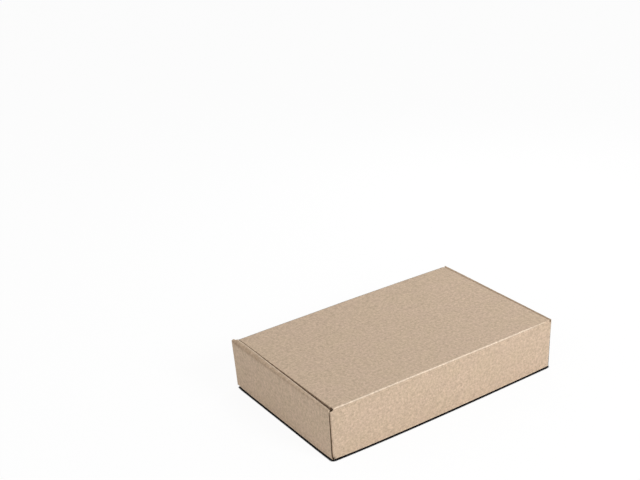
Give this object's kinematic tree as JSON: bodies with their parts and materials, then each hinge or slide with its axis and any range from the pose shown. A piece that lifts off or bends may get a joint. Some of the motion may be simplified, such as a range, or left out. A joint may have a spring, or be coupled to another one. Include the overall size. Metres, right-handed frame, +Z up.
{
  "type": "cardboard mailer box",
  "caption": "Shallow kraft corrugated mailer box, closed, with rolled double end walls, a hinged lid, side wings and a tucked front flap with ears.",
  "frame": {"origin": "middle of the underside, on the surface that the closed box stands on", "axes": "+X along the length, +Y from the front (tuck side) to the rear (hinge side), +Z up"},
  "size_m": [0.32, 0.198, 0.064],
  "materials": {
    "kraft_board": "matt unbleached kraft liner with fine speckle"
  },
  "bodies": {
    "tray": {"tray": "kraft_board"},
    "lid": {"lid": "kraft_board"}
  },
  "joints": [
    {"name": "lid_hinge", "type": "hinge", "parent": "tray", "child": "lid", "pos_m": [0, 0.0975, 0.0625], "axis": [-1, 0, 0], "range_deg": [0, 135]}
  ]
}
